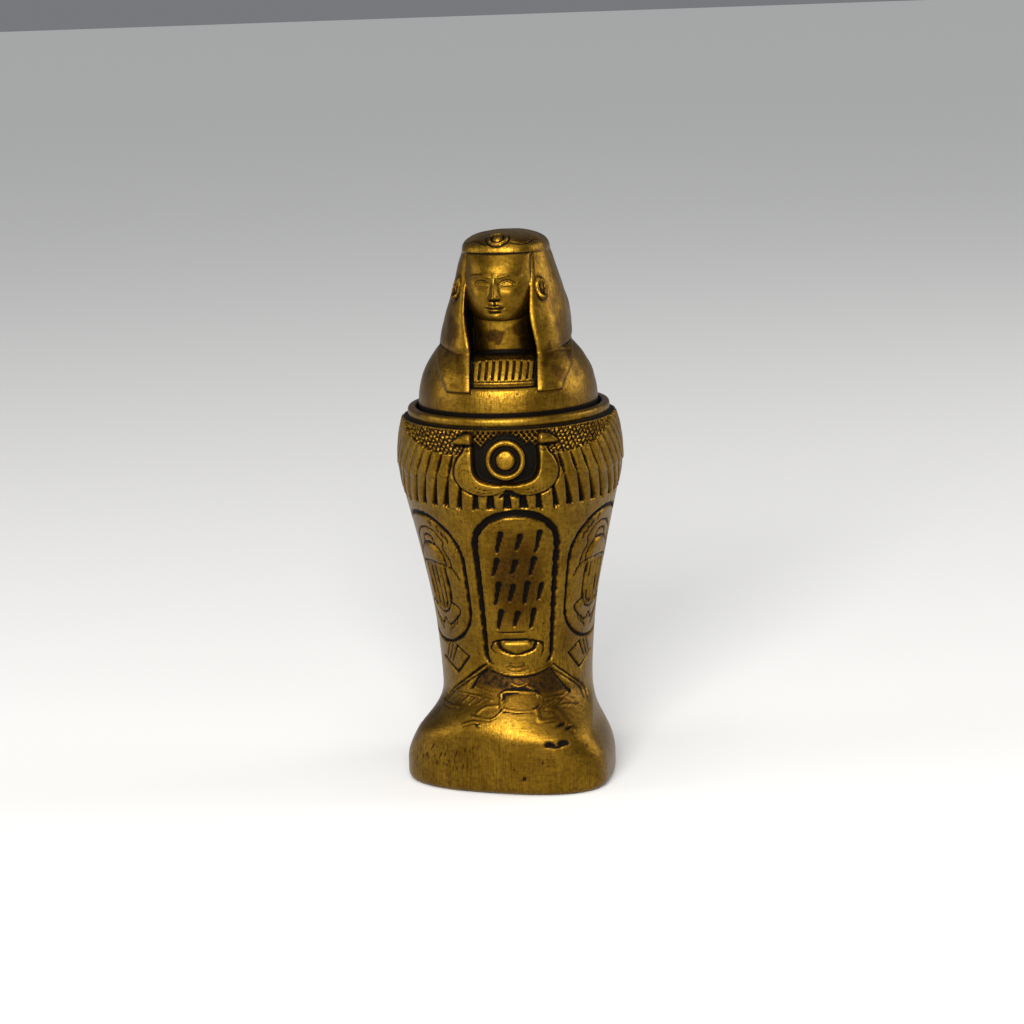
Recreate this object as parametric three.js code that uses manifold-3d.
// A small canopic jar cast in metal with an antiqued brass finish: a mummy-shaped jar on a foot block,
// carved with a winged disc and framed panels, and a lift-off lid in the form of a head in a wig.
// Units are millimetres, +Z is up and the front faces -Y. The origin is on the jar's axis, at the underside.

import * as THREE from 'three';
import { mergeVertices } from 'three/addons/utils/BufferGeometryUtils.js';
import Module from 'manifold-3d';

const wasm = await Module();
wasm.setup();

// Jar, outside
const JAR_HEIGHT = 54.9; // underside to the top of the rim bead
const BELLY_RADIUS = 16.3;
const BELLY_DROP = 8.1; // widest line below the top of the rim
const WAIST_RADIUS = 11.15;
const WAIST_HEIGHT = 13;
const FLANK_CURVE = 0.72; // below 1, the jar narrows early under the belly
const SHOULDER_CURVE = 2.3; // above 1, the jar narrows late over the belly
const RIM_RADIUS = 14.7;
const RIM_BEAD_HEIGHT = 1.3;
const RIM_BEAD_WIDTH = 1.3;
const BEAD_GROOVE = 0.3; // height of the groove under the bead
const EDGE_BREAK = 0.35; // on the rim's and the lid's edges

// Foot block
const FOOT_HALF_WIDTH = 15.1;
const FOOT_FRONT = 15.9; // from the jar's axis to the toe face
const FOOT_BACK = 11.2; // from the jar's axis to the heel
const FOOT_WIDEST = 8.2; // how far the widest line lies in front of the axis
const FOOT_SIDE_HEIGHT = 3.2; // where the flare of the sides ends
const TOE_HEIGHT = 7.6; // where the instep turns into the toe face
const INSTEP_TOP = 18.5; // where the instep leaves the jar
const FOOT_SQUARENESS = 2.3; // superellipse power of the block's plan
const FOOT_TURN = -13.5; // degrees, the block was cast askew
const FOOT_SHIFT = 0.5; // towards +X
const FOOT_EDGE = 1.2; // rounding of the underside's edge

// Jar, inside
const WALL = 2.4;
const FLOOR_HEIGHT = 12; // the cavity's floor above the underside
const FLOOR_ROUNDING = 3; // height of the rounding between floor and wall
const MOUTH_RADIUS = 9.5;
const LIP_HEIGHT = 2.2; // depth of the straight mouth
const SEAT_DEPTH = 1.2; // the lid's seat below the top of the rim

// Lid
const LID_HEIGHT = 26.3; // seat to crown
const LID_GAP = 0.35; // between the lid's edge and the rim bead
const SPIGOT_DEPTH = 3;
const SPIGOT_CLEARANCE = 0.35;
const WIG_HALF_WIDTH = 9.75; // at the wig's foot
const CROWN_HALF_WIDTH = 6.6;
const WIG_DEPTH_SHARE = 1.1; // wig's depth as a share of its width
const WIG_SQUARENESS = 2.3;
const BAND_RAISE = 0.25;
const HEAD_TURN = -9; // degrees, the face looks a little to its right
const HEAD_SHIFT = 0.4; // the head leans towards +X
const WINDOW_HALF_WIDTH = 4.6; // between the wig's front edges
const NECK_FRONT = 7.4; // from the lid's axis
const FACE_FRONT = 9.3; // from the lid's axis
const FACE_HALF_WIDTH = 5.5;
const LAPPET_RAISE = 0.6;
const COLLAR_RAISE = 0.4;
const LAPPET_AZIMUTH = 40; // outer edge of a lappet at its end, in degrees from the front
const SHOULDER_AZIMUTH = 78; // where the lappets' outer edges run into the wig's foot
const EDGE_ANGLE = 0.8; // degrees over which a step between the wig and its neighbours falls away
const COLLAR_PLEATS = 5;
const BROW_DISC_RADIUS = 1.5;
const BROW_DISC_TILT = THREE.MathUtils.degToRad(50); // of its axis above the level

// Heights of the head's parts, as shares of the lid's height
const HEAD = {
  edge: 0.06,
  lappetEnd: 0.17,
  collarBottom: 0.205,
  collarTop: 0.36,
  wigFoot: 0.4,
  domeTop: 0.535,
  chin: 0.536,
  windowTop: 0.89,
  bandTop: 0.942,
  crownFoot: 0.885,
};

// Relief on the jar
const RELIEF_RAISE = 0.35; // height of the raised carving
const RELIEF_ROOT = 0.7; // how deep the raised carving is rooted below the surface
const RELIEF_STEP = 0.2; // height over which a step in the carving falls away
const WING_HEIGHT = 11.3;
const TIER_SHARE = 0.39; // height of the long feathers' free part in the band
const SCALE_SHARE = 0.7; // where the feathers start under the scales
const SCALE_DEPTH = 0.15; // ground of the scales below the jar's surface
const FEATHER_RAISE = 0.1; // the short feathers above the jar's surface
const FEATHER_GAP_DEPTH = 0.75;
const FEATHERS = 36; // in the full circle of the band
const FEATHER_LEAN = 24; // degrees of azimuth that a feather at the side moves on its way down
const DISC_RADIUS = 2.85;
const DISC_RAISE = 0.5;
const DISC_DROP = 4; // from the band's top
const DISC_AZIMUTH = 0.4;
const NICHE_DEPTH = 0.75; // of the sunk ground round the disc
const PANEL_AZIMUTH = 4.5; // middle of the front panel
const SIDE_PANEL_OFFSET = 64; // from the front panel's middle, in degrees
const SIDE_BEETLE_OFFSET = 60;
const INSTEP_AZIMUTH = 2; // middle of the instep's relief
const GROOVE_WIDTH = 0.9;
const GROOVE_DEPTH = 0.5;
const STROKE_WIDTH = 0.7;
const STROKE_DEPTH = 0.32;

// Panels: half width in degrees, distances from the band and from the top of the instep, and the arches' rise
const FRONT_PANEL = { halfAngle: 24.7, topGap: 0.6, bottomGap: -1.5, topArch: 5.2, bottomArch: 2.8 };
const SIDE_PANEL = { halfAngle: 30, topGap: 1.6, bottomGap: 2.3, topArch: 7, bottomArch: 5.5 };

// Fineness of the solids
const JAR_COLUMNS = 32;
const CAVITY_COLUMNS = 20;
const WINDOW_COLUMNS = 16;
const LAPPET_COLUMNS = 3;
const BACK_COLUMNS = 5;
const ARCH_STEPS = 6;

const JAR_COLOUR = 0x8a6a1c;
const LID_COLOUR = 0x94731f;

const SEAT_HEIGHT = JAR_HEIGHT - SEAT_DEPTH;
const SEAT_RADIUS = RIM_RADIUS - RIM_BEAD_WIDTH;
const LID_RADIUS = SEAT_RADIUS - LID_GAP;
const BELLY_HEIGHT = JAR_HEIGHT - BELLY_DROP;
const WING_TOP = JAR_HEIGHT - RIM_BEAD_HEIGHT - BEAD_GROOVE;
const WING_BOTTOM = WING_TOP - WING_HEIGHT;
const DISC_HEIGHT = WING_TOP - DISC_DROP;
const headHeight = Object.fromEntries(
  Object.entries(HEAD).map(([name, share]) => [name, share * LID_HEIGHT]),
);
const FACE_THIRD = (headHeight.windowTop - headHeight.chin) / 3;

const radians = THREE.MathUtils.degToRad;
const { lerp, clamp } = THREE.MathUtils;
const ease = (from, to, value) => THREE.MathUtils.smoothstep(value, from, to);
// A rounded bump of height 1 at the centre, with the given half width.
const bump = (value, centre, halfWidth) => Math.exp(-(((value - centre) / halfWidth) ** 2));

// Numbers from a to b in equal steps, both ends included.
function steps(a, b, count) {
  return Array.from({ length: count + 1 }, (_, i) => lerp(a, b, i / count));
}

// A closed geometry of points and triangles, with its faces turned outwards.
function closedGeometry(points, triangles) {
  let volume = 0;
  for (const [a, b, c] of triangles) {
    volume += points[a].dot(new THREE.Vector3().crossVectors(points[b], points[c]));
  }
  const facing = volume > 0 ? triangles : triangles.map(([a, b, c]) => [a, c, b]);
  const geometry = new THREE.BufferGeometry();
  geometry.setAttribute('position', new THREE.Float32BufferAttribute(points.flatMap((p) => p.toArray()), 3));
  geometry.setIndex(facing.flat());
  return geometry;
}

// Triangles between two rings of point indices. Rings of one size are joined point to point,
// and others by azimuth, from the front all the way round.
function stitch(points, lower, upper) {
  const shares = [lower, upper].map((ring) => {
    const azimuths = ring.map((index) => Math.atan2(points[index].x, -points[index].y) / (2 * Math.PI));
    const unwrapped = azimuths.map((share, i) => (i > 0 && share < 0 ? share + 1 : share));
    return lower.length === upper.length ? ring.map((_, i) => i / ring.length) : unwrapped;
  });
  const nextShare = (ring, i) => (i + 1 < ring.length ? ring[i + 1] : i + 1 === ring.length ? 1 : 2);
  const triangles = [];
  let i = 0;
  let j = 0;
  while (i < lower.length || j < upper.length) {
    const low = lower[i % lower.length];
    const high = upper[j % upper.length];
    if (nextShare(shares[0], i) <= nextShare(shares[1], j)) {
      i += 1;
      triangles.push([low, lower[i % lower.length], high]);
    } else {
      j += 1;
      triangles.push([low, upper[j % upper.length], high]);
    }
  }
  return triangles;
}

// A closed solid of stacked rings between two poles.
function ringSolid(bottomPole, rings, topPole) {
  const points = [bottomPole, ...rings.flat(), topPole];
  let next = 1;
  const indices = rings.map((ring) => ring.map(() => next++));
  const triangles = [];
  for (let row = 0; row + 1 < indices.length; row++) {
    triangles.push(...stitch(points, indices[row], indices[row + 1]));
  }
  const fan = (pole, ring) => ring.map((index, i) => [pole, ring[(i + 1) % ring.length], index]);
  triangles.push(...fan(0, indices[0]));
  triangles.push(...fan(points.length - 1, indices.at(-1)).map(([a, b, c]) => [a, c, b]));
  return closedGeometry(points, triangles);
}

// A solid that closes on itself both ways: section loops along a closed path.
function loopSolid(loops) {
  const size = loops[0].length;
  const at = (loop, i) => (loop % loops.length) * size + (i % size);
  const triangles = [];
  for (let loop = 0; loop < loops.length; loop++) {
    for (let i = 0; i < size; i++) {
      triangles.push([at(loop, i), at(loop + 1, i), at(loop + 1, i + 1)]);
      triangles.push([at(loop, i), at(loop + 1, i + 1), at(loop, i + 1)]);
    }
  }
  return closedGeometry(loops.flat(), triangles);
}

// A solid of section loops along an open path, with flat ends.
function strandSolid(sections) {
  const size = sections[0].length;
  const at = (row, i) => row * size + (i % size);
  const last = sections.length - 1;
  const triangles = [];
  for (let row = 0; row < last; row++) {
    for (let i = 0; i < size; i++) {
      triangles.push([at(row, i), at(row + 1, i), at(row + 1, i + 1)]);
      triangles.push([at(row, i), at(row + 1, i + 1), at(row, i + 1)]);
    }
  }
  for (let i = 1; i + 1 < size; i++) {
    triangles.push([at(0, 0), at(0, i), at(0, i + 1)]);
    triangles.push([at(last, 0), at(last, i + 1), at(last, i)]);
  }
  return closedGeometry(sections.flat(), triangles);
}

function toSolid(geometry) {
  const bare = geometry.clone();
  bare.deleteAttribute('normal');
  bare.deleteAttribute('uv');
  const merged = mergeVertices(bare, 1e-4);
  return new wasm.Manifold(
    new wasm.Mesh({
      numProp: 3,
      vertProperties: merged.attributes.position.array,
      triVerts: new Uint32Array(merged.index.array),
    }),
  );
}

function toGeometry(solid) {
  const { vertProperties, triVerts } = solid.getMesh();
  const geometry = new THREE.BufferGeometry();
  geometry.setAttribute('position', new THREE.BufferAttribute(new Float32Array(vertProperties), 3));
  geometry.setIndex(new THREE.BufferAttribute(new Uint32Array(triVerts), 1));
  geometry.computeVertexNormals();
  return geometry;
}

// Radius of the round jar at a height, from the waist over the belly to the rim.
function jarRadius(z) {
  if (z > BELLY_HEIGHT) {
    const rise = (z - BELLY_HEIGHT) / (JAR_HEIGHT - BELLY_HEIGHT);
    return BELLY_RADIUS - (BELLY_RADIUS - RIM_RADIUS) * rise ** SHOULDER_CURVE;
  }
  const fall = clamp((BELLY_HEIGHT - z) / (BELLY_HEIGHT - WAIST_HEIGHT), 0, 1);
  return lerp(BELLY_RADIUS, WAIST_RADIUS, ease(0, 1, fall ** FLANK_CURVE));
}

// A point on the jar's outside at an azimuth, in degrees from the front towards +X, and a height,
// moved out by raise.
// Below the instep the round section turns into the foot block's superellipse.
function jarPoint(azimuth, z, raise = 0) {
  const round = jarRadius(z);
  const side = 1 - ease(FOOT_SIDE_HEIGHT, WAIST_HEIGHT, z);
  const instep = 1 - ease(TOE_HEIGHT, INSTEP_TOP, z);
  const block = 1 - ease(TOE_HEIGHT, WAIST_HEIGHT + 1, z);
  const halfWidth = lerp(round, FOOT_HALF_WIDTH, side);
  const centre = FOOT_WIDEST * block;
  const front = lerp(round, FOOT_FRONT, instep) - centre;
  const back = lerp(round, FOOT_BACK, side) + centre;
  const power = lerp(2, FOOT_SQUARENESS, block);
  const angle = radians(azimuth);
  const across = Math.abs(Math.sin(angle)) / halfWidth;
  const along = Math.abs(Math.cos(angle)) / (Math.cos(angle) > 0 ? front : back);
  const reach = (across ** power + along ** power) ** (-1 / power) + raise;
  const x = reach * Math.sin(angle);
  const y = -centre - reach * Math.cos(angle);
  const turn = radians(FOOT_TURN) * block;
  return new THREE.Vector3(
    FOOT_SHIFT * block + x * Math.cos(turn) - y * Math.sin(turn),
    x * Math.sin(turn) + y * Math.cos(turn),
    z,
  );
}

// A ring of points round the jar's axis.
function roundRing(radius, z, columns) {
  return Array.from({ length: columns }, (_, i) => {
    const angle = (i / columns) * 2 * Math.PI;
    return new THREE.Vector3(radius * Math.sin(angle), -radius * Math.cos(angle), z);
  });
}

function jarRing(z, raise) {
  return Array.from({ length: JAR_COLUMNS }, (_, i) => jarPoint((i / JAR_COLUMNS) * 360, z, raise));
}

// One row of the winged band. Each feather has three columns, and the third is the gap beside it.
function wingRow({ z, feather, gap }) {
  return Array.from({ length: FEATHERS * 3 }, (_, i) => {
    const share = [0, 0.56, 0.78][i % 3];
    const azimuth = ((Math.floor(i / 3) + share) / FEATHERS) * 360;
    const lean = FEATHER_LEAN * Math.sin(radians(azimuth)) * ((WING_TOP - z) / WING_HEIGHT);
    return jarPoint(azimuth + lean, z, i % 3 === 2 ? gap : feather);
  });
}

// The jar with its feathers: underside, outside, rim bead, lid seat, mouth and cavity.
function jarBody() {
  const edge = [0, 35, 90].map((angle) => {
    const z = FOOT_EDGE * (1 - Math.cos(radians(angle)));
    return jarRing(z, -FOOT_EDGE * (1 - Math.sin(radians(angle))));
  });
  const foot = [0.2, 0.33, 0.43, 0.52, 0.61, 0.7, 0.8, 0.9].map((share) => jarRing(share * INSTEP_TOP, 0));
  const flank = steps(INSTEP_TOP, WING_BOTTOM - 5 * RELIEF_STEP, 5).map((z) => jarRing(z, 0));
  const tierLine = WING_BOTTOM + TIER_SHARE * WING_HEIGHT;
  const scaleLine = WING_BOTTOM + SCALE_SHARE * WING_HEIGHT;
  const wings = [
    { z: WING_BOTTOM - RELIEF_STEP, feather: 0, gap: 0 },
    { z: WING_BOTTOM, feather: 0, gap: -FEATHER_GAP_DEPTH },
    { z: tierLine - RELIEF_STEP, feather: -FEATHER_RAISE, gap: -FEATHER_GAP_DEPTH / 2 },
    { z: tierLine, feather: FEATHER_RAISE, gap: -FEATHER_GAP_DEPTH / 2 },
    { z: scaleLine - RELIEF_STEP, feather: FEATHER_RAISE / 2, gap: -FEATHER_GAP_DEPTH / 4 },
  ].map(wingRow);
  const beadFoot = JAR_HEIGHT - RIM_BEAD_HEIGHT;
  const scales = [scaleLine, (scaleLine + WING_TOP) / 2, WING_TOP].map((z) => jarRing(z, -SCALE_DEPTH));
  const bead = [
    [RIM_RADIUS - EDGE_BREAK, beadFoot],
    [RIM_RADIUS, beadFoot + EDGE_BREAK],
    [RIM_RADIUS, JAR_HEIGHT - EDGE_BREAK],
    [RIM_RADIUS - EDGE_BREAK, JAR_HEIGHT],
    [SEAT_RADIUS + EDGE_BREAK, JAR_HEIGHT],
    [SEAT_RADIUS, JAR_HEIGHT - EDGE_BREAK],
    [SEAT_RADIUS, SEAT_HEIGHT],
    [MOUTH_RADIUS, SEAT_HEIGHT],
    [MOUTH_RADIUS, SEAT_HEIGHT - LIP_HEIGHT],
  ].map(([radius, z]) => roundRing(radius, z, JAR_COLUMNS));
  const shoulder = SEAT_HEIGHT - 2 * LIP_HEIGHT;
  const cavityHeights = steps(shoulder, FLOOR_HEIGHT + FLOOR_ROUNDING, 5);
  const cavity = cavityHeights.map((z) => roundRing(jarRadius(z) - WALL, z, CAVITY_COLUMNS));
  const floorRadius = jarRadius(FLOOR_HEIGHT) - WALL;
  const floor = [
    roundRing(floorRadius * 0.9, FLOOR_HEIGHT + FLOOR_ROUNDING * 0.3, CAVITY_COLUMNS),
    roundRing(floorRadius * 0.65, FLOOR_HEIGHT, CAVITY_COLUMNS),
  ];
  return ringSolid(
    new THREE.Vector3(0, 0, 0),
    [...edge, ...foot, ...flank, ...wings, ...scales, ...bead, ...cavity, ...floor],
    new THREE.Vector3(0, 0, FLOOR_HEIGHT),
  );
}

// A point given in disc radii from the disc's centre, wrapped on the jar.
function emblemPoint(across, up, raise) {
  const z = DISC_HEIGHT + up * DISC_RADIUS;
  return jarPoint(DISC_AZIMUTH + (across * DISC_RADIUS) / (radians(1) * jarRadius(z)), z, raise);
}

// The cutter of the sunk niche round the disc: straight at the top, a half ellipse at the bottom.
function nicheCutter() {
  const halfWidth = 1.63;
  const top = (WING_TOP - DISC_HEIGHT) / DISC_RADIUS;
  const arc = steps(180, 360, 8).map((angle) => [
    halfWidth * Math.cos(radians(angle)),
    0.1 + 1.26 * Math.sin(radians(angle)),
  ]);
  const outline = [...arc, [halfWidth, top], [-halfWidth, top]];
  return ringSolid(
    emblemPoint(0, 0, -NICHE_DEPTH),
    [-NICHE_DEPTH, NICHE_DEPTH].map((raise) => outline.map(([across, up]) => emblemPoint(across, up, raise))),
    emblemPoint(0, 0, NICHE_DEPTH),
  );
}

// The sun disc: a ring with a boss inside, its axis straight out of the jar.
function sunDisc() {
  const profile = [
    [0, -4 * DISC_RAISE],
    [DISC_RADIUS, -4 * DISC_RAISE],
    [DISC_RADIUS, 0.8 * DISC_RAISE],
    [0.93 * DISC_RADIUS, DISC_RAISE],
    [0.78 * DISC_RADIUS, DISC_RAISE],
    [0.72 * DISC_RADIUS, -0.2 * DISC_RAISE],
    [0.54 * DISC_RADIUS, -0.2 * DISC_RAISE],
    [0.48 * DISC_RADIUS, 0.8 * DISC_RAISE],
    [0, 1.1 * DISC_RAISE],
  ].map(([radius, height]) => new THREE.Vector2(radius, height));
  const geometry = new THREE.LatheGeometry(profile, 16);
  const place = emblemPoint(0, 0, 0);
  const outwards = emblemPoint(0, 0, 1).sub(place);
  geometry.applyQuaternion(new THREE.Quaternion().setFromUnitVectors(new THREE.Vector3(0, 1, 0), outwards));
  return geometry.translate(place.x, place.y, place.z);
}

// A strand lying on the jar along a path of [millimetres round the jar, height, half width].
// Its ridge is at top above the surface and its base at bottom. crest is the ridge's share of the width,
// and side mirrors the strand.
function jarStrand({
  path,
  azimuth,
  top = RELIEF_RAISE,
  bottom = -RELIEF_ROOT,
  side = 1,
  crest = 0,
  divisions = path.length * 2 - 2,
}) {
  const curve = new THREE.CatmullRomCurve3(path.map(([u, z, w]) => new THREE.Vector3(u, z, w)));
  const sections = steps(0, 1, divisions).map((t) => {
    const { x: u, y: z, z: w } = curve.getPoint(t);
    const along = curve.getTangent(t);
    const normal = new THREE.Vector2(-along.y, along.x).normalize();
    const onJar = (across, raise) => {
      const height = z + normal.y * across * w;
      const arc = side * (u + normal.x * across * w);
      return jarPoint(azimuth + arc / (radians(1) * jarRadius(height)), height, raise);
    };
    const ridge = crest > 0 ? [onJar(-crest, top), onJar(crest, top)] : [onJar(0, top)];
    return [onJar(-1, bottom), ...ridge, onJar(1, bottom)];
  });
  return strandSolid(sections);
}

// A rearing cobra beside the disc, in disc radii. The body comes from under the disc and widens into
// the hood, and the head lies across its top with the snout outwards.
function cobra(side) {
  const body = [
    [-0.1, -1.4, 0.21],
    [0.91, -1.33, 0.26],
    [1.61, -0.98, 0.35],
    [2.05, -0.42, 0.42],
    [2.02, 0.18, 0.33],
    [1.96, 0.74, 0.33],
  ];
  const head = [
    [1.37, 0.91, 0.09],
    [1.82, 0.98, 0.26],
    [2.32, 0.91, 0.23],
    [2.74, 0.74, 0.07],
  ];
  const strand = (points, top) => {
    const path = points.map((point) => {
      const [u, up, w] = point.map((radii) => radii * DISC_RADIUS);
      return [u, DISC_HEIGHT + up, w];
    });
    const divisions = 2 * points.length - 4;
    const bottom = -NICHE_DEPTH - RELIEF_RAISE;
    return jarStrand({ path, azimuth: DISC_AZIMUTH, top, bottom, side, crest: 0.7, divisions });
  };
  return [strand(body, RELIEF_RAISE), strand(head, 1.5 * RELIEF_RAISE)];
}

// The heights between which a panel runs.
function panelHeights({ topGap, bottomGap }) {
  return { top: WING_BOTTOM - topGap, bottom: INSTEP_TOP + bottomGap };
}

// Where a panel's outline runs: straight sides at a constant azimuth between two half-ellipse arches.
function panelOutline(panel) {
  const { halfAngle, topArch, bottomArch } = panel;
  const { top, bottom } = panelHeights(panel);
  const arch = (centre, rise, from) =>
    steps(from, from + 180, ARCH_STEPS).map((angle) => [
      halfAngle * Math.cos(radians(angle)),
      centre + rise * Math.sin(radians(angle)),
    ]);
  const between = steps(top - topArch, bottom + bottomArch, 4).slice(1, -1);
  return [
    ...arch(top - topArch, topArch, 0),
    ...between.map((z) => [-halfAngle, z]),
    ...arch(bottom + bottomArch, bottomArch, 180),
    ...between.reverse().map((z) => [halfAngle, z]),
  ];
}

// The V-shaped groove that frames a panel, as the ring that cuts it.
function panelGroove(panel, azimuth) {
  const outline = panelOutline(panel);
  const loops = outline.map(([angle, z], i) => {
    const before = outline.at(i - 1);
    const after = outline[(i + 1) % outline.length];
    const scale = radians(1) * jarRadius(z);
    const along = new THREE.Vector2((after[0] - before[0]) * scale, after[1] - before[1]).normalize();
    const onJar = (across, raise) =>
      jarPoint(azimuth + angle + (along.y * across) / scale, z - along.x * across, raise);
    const half = GROOVE_WIDTH / 2;
    const lift = GROOVE_DEPTH / 20;
    return [onJar(-half, lift), onJar(0, GROOVE_DEPTH), onJar(half, lift), onJar(0, -GROOVE_DEPTH)];
  });
  return loopSolid(loops);
}

// A path on a panel from shares of its half width and height to millimetres round the jar and heights.
function panelPath(panel, points) {
  const { top, bottom } = panelHeights(panel);
  return points.map(([across, up, w]) => {
    const z = lerp(bottom, top, up);
    return [across * radians(panel.halfAngle) * jarRadius(z), z, w];
  });
}

// Rows of short strokes that fill the front panel. All lean alike, and their lengths alternate.
function panelStrokes() {
  const rows = [
    { middle: 0.82, length: 0.11, count: 3, spacing: 0.46, shift: 0.05 },
    { middle: 0.665, length: 0.09, count: 3, spacing: 0.46, shift: -0.08 },
    { middle: 0.5, length: 0.12, count: 4, spacing: 0.38, shift: 0.03 },
    { middle: 0.335, length: 0.1, count: 3, spacing: 0.46, shift: -0.06 },
  ];
  return rows.flatMap(({ middle, length, count, spacing, shift }) =>
    Array.from({ length: count }, (_, i) => {
      const across = (i - (count - 1) / 2) * spacing + shift;
      const half = (length / 2) * (i % 2 ? 0.7 : 1);
      const path = panelPath(FRONT_PANEL, [
        [across - 0.04, middle - half, 0.35 * STROKE_WIDTH],
        [across + 0.04, middle + half, 0.55 * STROKE_WIDTH],
      ]);
      return jarStrand({
        path,
        azimuth: PANEL_AZIMUTH,
        top: -STROKE_DEPTH,
        bottom: STROKE_DEPTH,
        divisions: 1,
      });
    }),
  );
}

// The bowl at the foot of the front panel, raised.
function panelBowl() {
  const path = panelPath(FRONT_PANEL, [
    [-0.6, 0.2, 0.6 * RELIEF_RAISE],
    [-0.35, 0.175, 2.1 * RELIEF_RAISE],
    [0, 0.16, 2.8 * RELIEF_RAISE],
    [0.35, 0.175, 2.1 * RELIEF_RAISE],
    [0.6, 0.2, 0.6 * RELIEF_RAISE],
  ]);
  return jarStrand({ path, azimuth: PANEL_AZIMUTH, crest: 0.6 });
}

// The beetle of a side panel: wing cases of four ribs, a head plate above and a chevron below.
function panelBeetle(side) {
  const strand = (points, divisions) => {
    const path = panelPath(SIDE_PANEL, points).map(([u, z, w]) => [u, z, w * RELIEF_RAISE]);
    return jarStrand({ path, azimuth: PANEL_AZIMUTH + side * SIDE_BEETLE_OFFSET, side, divisions });
  };
  const ribs = [-0.3, -0.1, 0.1, 0.3].map((across) => {
    const shorter = 0.1 * Math.abs(across);
    const ends = [[across * 0.8, 0.26 + shorter, 1], [across * 0.9, 0.6 - shorter, 1]];
    return strand([ends[0], [across, 0.42, 1.4], ends[1]], 2);
  });
  const headPlate = strand([[-0.33, 0.64, 0.9], [0, 0.69, 2.3], [0.33, 0.64, 0.9]], 4);
  const chevron = strand([[-0.46, 0.23, 0.9], [0, 0.12, 2], [0.46, 0.23, 0.9]], 4);
  return [...ribs, headPlate, chevron];
}

// The relief of the instep: two ribs that run down from the front panel's corners, and a beetle's body
// between them. Points are shares of the waist's radius and of the instep's height.
function instepRelief() {
  const strand = (points, side = 1) => {
    const path = points.map(([across, up, w]) => [
      across * WAIST_RADIUS,
      lerp(TOE_HEIGHT, INSTEP_TOP, up),
      w * WAIST_RADIUS,
    ]);
    return jarStrand({ path, azimuth: INSTEP_AZIMUTH, side, crest: 0.5 });
  };
  const body = [[0, 0.42, 0.11], [0, 0.5, 0.17], [0, 0.61, 0.17], [0, 0.67, 0.11]];
  const rib = [[0.47, 0.92, 0.03], [0.77, 0.66, 0.035], [1.04, 0.42, 0.025]];
  return [strand(body), strand(rib), strand(rib, -1)];
}

function makeJar() {
  const pairs = [1, -1].flatMap((side) => [...cobra(side), ...panelBeetle(side)]);
  const raised = [sunDisc(), panelBowl(), ...instepRelief(), ...pairs];
  const cut = [
    panelGroove(FRONT_PANEL, PANEL_AZIMUTH),
    panelGroove(SIDE_PANEL, PANEL_AZIMUTH - SIDE_PANEL_OFFSET),
    panelGroove(SIDE_PANEL, PANEL_AZIMUTH + SIDE_PANEL_OFFSET),
    ...panelStrokes(),
  ];
  let solid = toSolid(jarBody()).subtract(toSolid(nicheCutter()));
  for (const piece of raised) {
    solid = solid.add(toSolid(piece));
  }
  for (const piece of cut) {
    solid = solid.subtract(toSolid(piece));
  }
  return toGeometry(solid);
}

// Half width of the wig at a height above the lid's seat. The sides bow out a little under a rounded crown.
function wigHalfWidth(z) {
  const { wigFoot, crownFoot } = headHeight;
  if (z < crownFoot) {
    const rise = Math.max(0, (z - wigFoot) / (crownFoot - wigFoot));
    return lerp(WIG_HALF_WIDTH, CROWN_HALF_WIDTH, rise ** 1.25);
  }
  return CROWN_HALF_WIDTH * Math.sqrt(Math.max(0, 1 - ((z - crownFoot) / (LID_HEIGHT - crownFoot)) ** 2.4));
}

// How far out a superellipse round the axis reaches along a direction.
function superellipse(angle, halfWidth, halfDepth, power) {
  const across = Math.abs(Math.sin(angle)) / halfWidth;
  const along = Math.abs(Math.cos(angle)) / halfDepth;
  return (across ** power + along ** power) ** (-1 / power);
}

// How far out an ellipse centred in front of the axis reaches along a direction, or 0 where it is missed.
function ellipseReach(angle, halfWidth, halfDepth, centre) {
  const sin = Math.sin(angle) / halfWidth;
  const cos = Math.cos(angle) / halfDepth;
  const a = sin * sin + cos * cos;
  const b = (cos * centre) / halfDepth;
  const root = b * b - a * ((centre / halfDepth) ** 2 - 1);
  return root > 0 && Math.cos(angle) > 0 ? (b + Math.sqrt(root)) / a : 0;
}

// The face's own relief at x across and z up: brow, eyes, nose, lips and chin on the thirds between
// the chin and the brow band, with the eyes one eye's width apart. Lengths inside are in thirds.
function faceRelief(x, z) {
  const across = Math.abs(x) / FACE_THIRD;
  const up = (z - headHeight.chin) / FACE_THIRD;
  const noseFall = 1 - ease(1, 2.1, up);
  const nose = 0.39 * noseFall * ease(0.87, 1.06, up) * bump(across, 0, 0.16 + 0.13 * noseFall);
  const socket = -0.18 * bump(across, 0.57, 0.31) * bump(up, 1.71, 0.23);
  const lid = 0.11 * bump(across, 0.6, 0.19) * bump(up, 1.69, 0.13);
  const browRidge = 0.065 * bump(across, 0.6, 0.35) * bump(up, 2, 0.13);
  const lips = 0.13 * bump(across, 0, 0.39) * (bump(up, 0.71, 0.1) + bump(up, 0.48, 0.1));
  const chin = 0.1 * bump(across, 0, 0.42) * bump(up, 0.26, 0.19);
  return FACE_THIRD * (nose + socket + lid + browRidge + lips + chin);
}

// Radius of the dome under the head.
function domeRadius(z) {
  const rise = clamp((z - headHeight.edge) / (headHeight.domeTop - headHeight.edge), 0, 1);
  return LID_RADIUS * Math.sqrt(1 - rise * rise);
}

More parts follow.
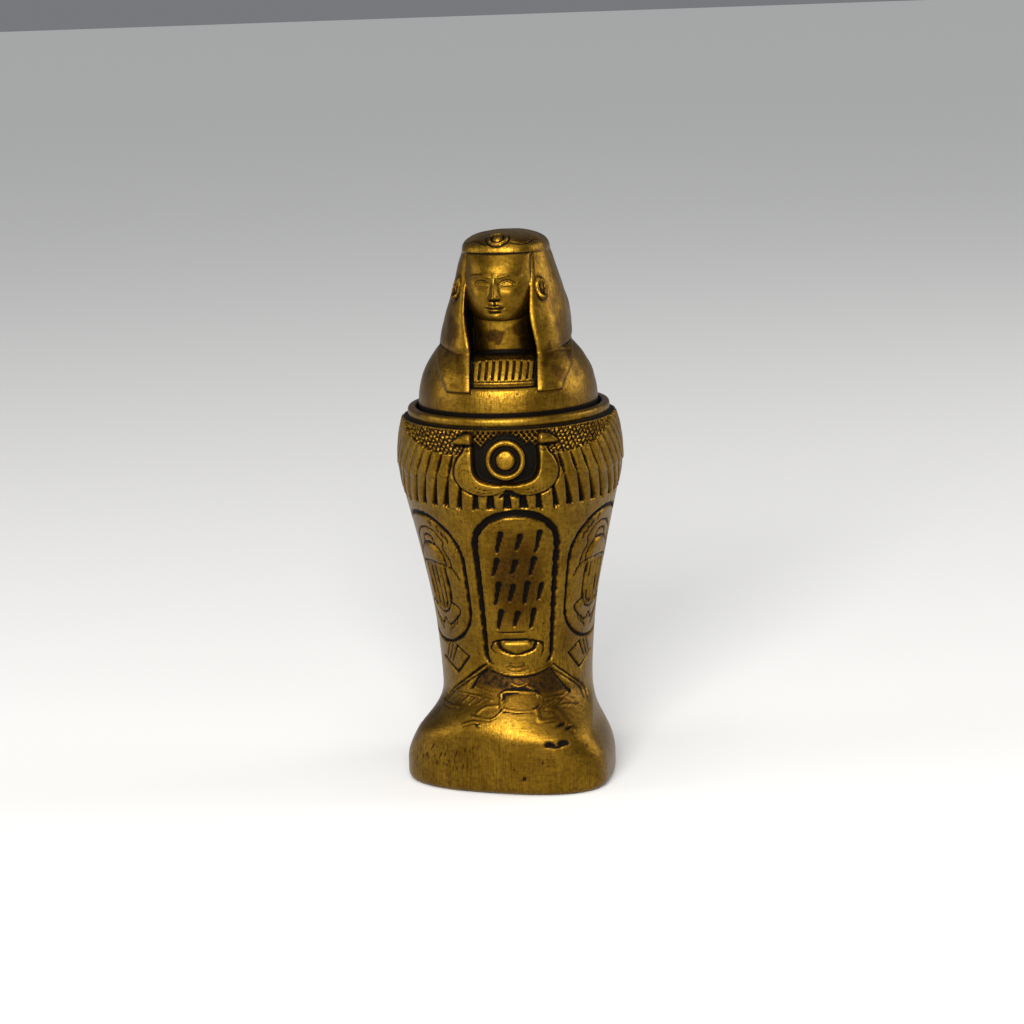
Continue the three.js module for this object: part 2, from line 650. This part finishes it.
// Radius of the face: an ellipse in plan that narrows to the chin and is set back at chin and forehead.
function faceRadius(angle, z) {
  const { chin, windowTop } = headHeight;
  const rise = (z - chin) / (windowTop - chin);
  if (rise < 0 || rise > 1) {
    return 0;
  }
  const jaw = (1 - Math.min(1, rise / 0.45)) ** 2.4;
  const fullness = 1 - Math.abs((rise - 0.42) / 0.6) ** 2.6;
  const front = lerp(NECK_FRONT, FACE_FRONT, fullness);
  const centre = front * 0.35;
  const reach = ellipseReach(angle, FACE_HALF_WIDTH * (1 - 0.4 * jaw), front - centre, centre);
  return reach > 0 ? reach + faceRelief(reach * Math.sin(angle), z) : 0;
}

// Radius of what stands between the wig's front edges: chest with pleated collar, neck and face.
function windowRadius(angle, z) {
  const neckTop = headHeight.chin + 0.5 * FACE_THIRD;
  const neck = ellipseReach(angle, WINDOW_HALF_WIDTH, WINDOW_HALF_WIDTH, NECK_FRONT - WINDOW_HALF_WIDTH);
  return Math.max(domeRadius(z), z < neckTop ? neck : 0, faceRadius(angle, z));
}

// The collar's upright pleats between two lines.
function collarRelief(x, z) {
  const { collarBottom, collarTop } = headHeight;
  const above = ease(collarBottom - RELIEF_STEP, collarBottom, z);
  const below = 1 - ease(collarTop, collarTop + RELIEF_STEP, z);
  const pleat = Math.cos((x / WINDOW_HALF_WIDTH) * Math.PI * COLLAR_PLEATS);
  return above * below * COLLAR_RAISE * (0.5 + 0.5 * pleat);
}

// The columns of the lid run along the wig's front edges and along the lappets' outer edges.
// Each has a zone and its share of the way through that zone, on the +X side and then on the other.
function lidColumns() {
  const window = steps(-1, 1, WINDOW_COLUMNS).map((share) => ({ zone: 'window', share, side: 1 }));
  const half = (side) => [
    ...steps(0, 1, LAPPET_COLUMNS).map((share) => ({ zone: 'lappet', share, side })),
    ...steps(0, 1, BACK_COLUMNS).map((share) => ({ zone: 'back', share, side })),
  ];
  return [...window, ...half(1), ...half(-1).slice(0, -1).reverse()];
}

// Radius of the wig with its brow band, over the dome.
function wigRadius(angle, z) {
  const halfWidth = wigHalfWidth(z);
  const wig = superellipse(angle, halfWidth, halfWidth * WIG_DEPTH_SHARE, WIG_SQUARENESS);
  const inBand = z > headHeight.windowTop && z < headHeight.bandTop && Math.cos(angle) > 0;
  return Math.max(domeRadius(z) + LAPPET_RAISE, wig) + (inBand ? BAND_RAISE : 0);
}

// Azimuths of the wig's front edge and of the lappet's outer edge at a height.
function lidEdges(z) {
  const { lappetEnd, wigFoot } = headHeight;
  const rise = clamp((z - lappetEnd) / (wigFoot - lappetEnd), 0, 1);
  const sine = Math.min(0.75, WINDOW_HALF_WIDTH / wigRadius(radians(30), z));
  return { front: Math.asin(sine) / radians(1), outer: lerp(LAPPET_AZIMUTH, SHOULDER_AZIMUTH, rise ** 1.5) };
}

// A column's azimuth in degrees. The edges between the zones are EDGE_ANGLE wide.
function columnAzimuth({ zone, share, side }, { front, outer }) {
  if (zone === 'window') {
    return share * (front - EDGE_ANGLE);
  }
  return side * (zone === 'lappet' ? lerp(front, outer, share) : lerp(outer + EDGE_ANGLE, 180, share));
}

// The head turns and leans as a whole from the neck up, and the shoulders of the lid stay straight.
const headShare = (z) => ease(headHeight.collarTop, headHeight.chin + 0.65 * FACE_THIRD, z);

function lidRing(z) {
  const { lappetEnd, wigFoot, windowTop } = headHeight;
  const turn = radians(HEAD_TURN) * headShare(z);
  const edges = lidEdges(z);
  return lidColumns().map((column) => {
    const angle = radians(columnAzimuth(column, edges));
    let radius = wigRadius(angle, z);
    if (column.zone === 'window' && z >= lappetEnd && z <= windowTop) {
      radius = windowRadius(angle, z) + collarRelief(radius * Math.sin(angle), z);
    } else if (z < lappetEnd || (column.zone === 'back' && z < wigFoot)) {
      radius = domeRadius(z);
    }
    const x = radius * Math.sin(angle + turn) + HEAD_SHIFT * headShare(z);
    return new THREE.Vector3(x, -radius * Math.cos(angle + turn), z);
  });
}

// A plain round ring with the lid's columns.
function lidRoundRing(radius, z) {
  const edges = lidEdges(headHeight.lappetEnd);
  return lidColumns().map((column) => {
    const angle = radians(columnAzimuth(column, edges));
    return new THREE.Vector3(radius * Math.sin(angle), -radius * Math.cos(angle), z);
  });
}

// An ear on the wig beside the face, between the lines of the brow and the nose's foot.
function ear(side) {
  const middle = headHeight.chin + 1.5 * FACE_THIRD;
  const azimuth = radians(side * (lidEdges(middle).front + 8));
  const reach = wigRadius(azimuth, middle);
  const turned = azimuth + radians(HEAD_TURN);
  const geometry = new THREE.SphereGeometry(FACE_THIRD, 8, 6);
  geometry.rotateX(Math.PI / 2).scale(0.3, 0.24, 0.5).rotateZ(turned);
  return geometry.translate(reach * Math.sin(turned) + HEAD_SHIFT, -reach * Math.cos(turned), middle);
}

// The disc on the brow band, facing forwards and up.
function browDisc() {
  const profile = [
    [0, -0.7],
    [1, -0.7],
    [1, 0.13],
    [0.8, 0.23],
    [0.55, 0.07],
    [0.35, 0.23],
    [0, 0.3],
  ].map(([radius, height]) => new THREE.Vector2(radius, height).multiplyScalar(BROW_DISC_RADIUS));
  const geometry = new THREE.LatheGeometry(profile, 12);
  const height = lerp(headHeight.bandTop, LID_HEIGHT, 0.4);
  const facing = new THREE.Vector3(0, -Math.cos(BROW_DISC_TILT), Math.sin(BROW_DISC_TILT));
  geometry.applyQuaternion(new THREE.Quaternion().setFromUnitVectors(new THREE.Vector3(0, 1, 0), facing));
  geometry.translate(0, -wigHalfWidth(height) * WIG_DEPTH_SHARE, height);
  return geometry.rotateZ(radians(HEAD_TURN)).translate(HEAD_SHIFT, 0, 0);
}

// The lid stands on its seat at height 0, with the spigot below.
function makeLid() {
  const { edge, lappetEnd, collarBottom, collarTop, wigFoot, chin, windowTop, bandTop } = headHeight;
  const spigotRadius = MOUTH_RADIUS - SPIGOT_CLEARANCE;
  const under = [
    lidRoundRing(spigotRadius - EDGE_BREAK, -SPIGOT_DEPTH),
    lidRoundRing(spigotRadius, EDGE_BREAK - SPIGOT_DEPTH),
    lidRoundRing(spigotRadius, 0),
    lidRoundRing(LID_RADIUS - EDGE_BREAK, 0),
    lidRoundRing(LID_RADIUS, EDGE_BREAK),
  ];
  const chestRows = [edge, lappetEnd - RELIEF_STEP, lappetEnd, collarBottom - RELIEF_STEP, collarBottom];
  const collarMiddle = (collarBottom + collarTop) / 2;
  const collarRows = [collarMiddle, collarTop, collarTop + RELIEF_STEP, wigFoot - RELIEF_STEP];
  const faceRows = [...steps(wigFoot, chin - RELIEF_STEP, 3), ...steps(chin, windowTop, 15)];
  const bandRows = [windowTop + RELIEF_STEP / 2, bandTop - RELIEF_STEP / 2, bandTop + RELIEF_STEP / 2];
  const crownRows = [0.5, 0.82, 0.96].map((share) => lerp(bandTop, LID_HEIGHT, share));
  const rows = [...chestRows, ...collarRows, ...faceRows, ...bandRows, ...crownRows];
  const crown = new THREE.Vector3(HEAD_SHIFT, 0, LID_HEIGHT);
  const body = ringSolid(new THREE.Vector3(0, 0, -SPIGOT_DEPTH), [...under, ...rows.map(lidRing)], crown);
  const solid = toSolid(body).add(toSolid(browDisc())).add(toSolid(ear(-1))).add(toSolid(ear(1)));
  return toGeometry(solid);
}

function brassMesh(name, geometry, color) {
  const material = new THREE.MeshStandardMaterial({ color, roughness: 0.35, metalness: 1 });
  const mesh = new THREE.Mesh(geometry, material);
  mesh.name = name;
  return mesh;
}

const canopicJar = new THREE.Group();
const jar = brassMesh('jar', makeJar(), JAR_COLOUR);
const lid = brassMesh('lid', makeLid(), LID_COLOUR);
lid.position.z = SEAT_HEIGHT;
canopicJar.add(jar, lid);

export default canopicJar;
